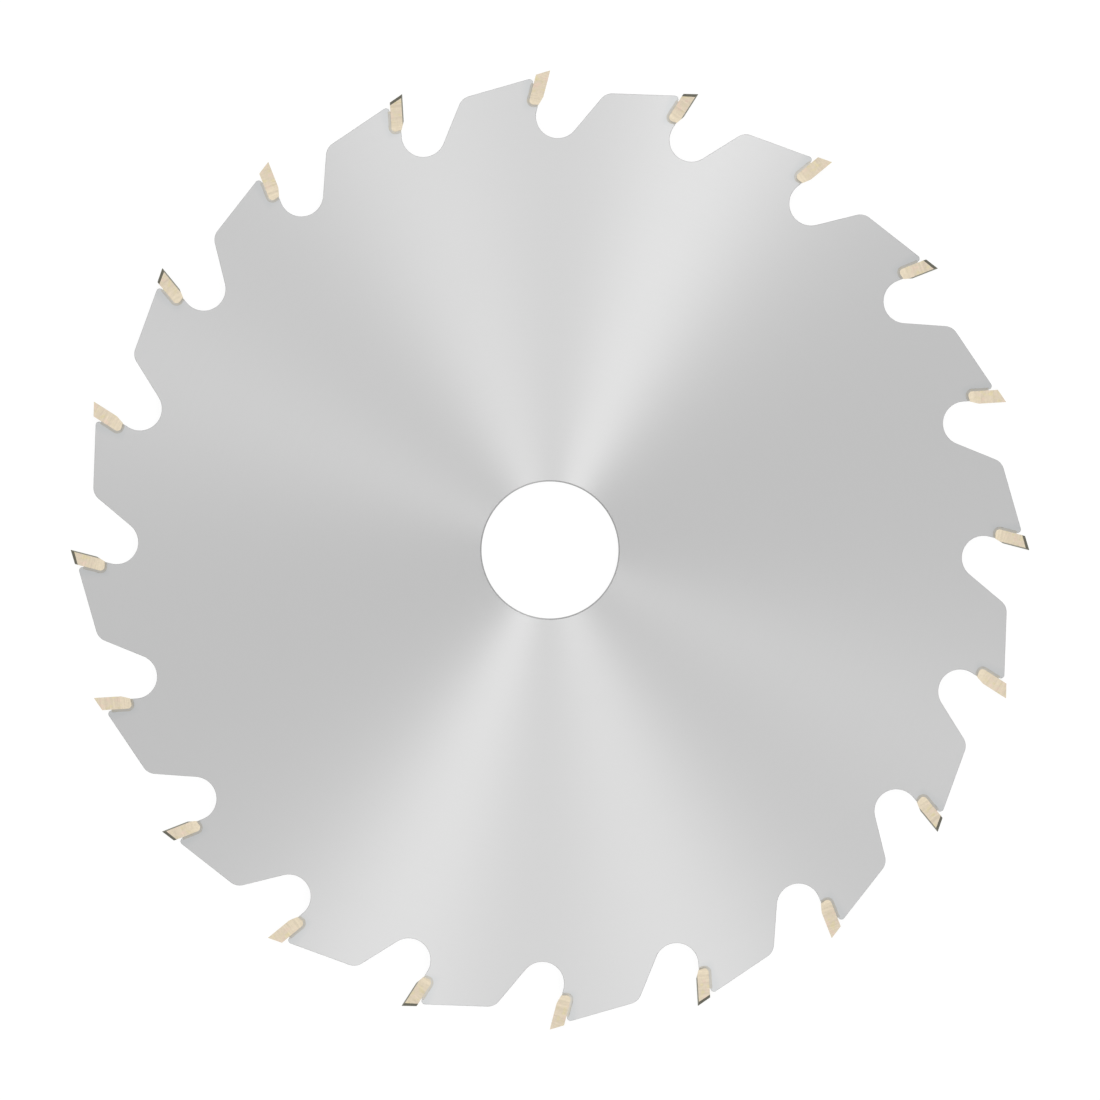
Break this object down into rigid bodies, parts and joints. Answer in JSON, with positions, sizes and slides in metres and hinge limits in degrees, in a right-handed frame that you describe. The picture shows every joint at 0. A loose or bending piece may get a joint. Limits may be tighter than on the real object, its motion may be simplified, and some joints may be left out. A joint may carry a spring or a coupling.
{
  "type": "circular saw blade",
  "caption": "Flat round steel saw blade with a plain arbor bore, deep rounded gullets and brazed carbide tips bevelled left and right in turn, for cutting wood.",
  "frame": {"origin": "centre of the arbor bore, halfway through the plate's thickness", "axes": "+Z along the bore towards the side seen in the picture, from which the blade cuts clockwise; +Y from the bore to the cutting point of the first tooth"},
  "size_m": [0.21, 0.21, 0.0026],
  "materials": {
    "plate_steel": "fine turned grind, satin",
    "tip_carbide": "ground, matt tan",
    "braze_alloy": "dull grey solder"
  },
  "bodies": {
    "root": {"blade_body": "plate_steel", "tip_01": "tip_carbide", "tip_02": "tip_carbide", "tip_03": "tip_carbide", "tip_04": "tip_carbide", "tip_05": "tip_carbide", "tip_06": "tip_carbide", "tip_07": "tip_carbide", "tip_08": "tip_carbide", "tip_09": "tip_carbide", "tip_10": "tip_carbide", "tip_11": "tip_carbide", "tip_12": "tip_carbide", "tip_13": "tip_carbide", "tip_14": "tip_carbide", "tip_15": "tip_carbide", "tip_16": "tip_carbide", "tip_17": "tip_carbide", "tip_18": "tip_carbide", "tip_19": "tip_carbide", "tip_20": "tip_carbide", "braze_01": "braze_alloy", "braze_02": "braze_alloy", "braze_03": "braze_alloy", "braze_04": "braze_alloy", "braze_05": "braze_alloy", "braze_06": "braze_alloy", "braze_07": "braze_alloy", "braze_08": "braze_alloy", "braze_09": "braze_alloy", "braze_10": "braze_alloy", "braze_11": "braze_alloy", "braze_12": "braze_alloy", "braze_13": "braze_alloy", "braze_14": "braze_alloy", "braze_15": "braze_alloy", "braze_16": "braze_alloy", "braze_17": "braze_alloy", "braze_18": "braze_alloy", "braze_19": "braze_alloy", "braze_20": "braze_alloy"}
  },
  "joints": []
}
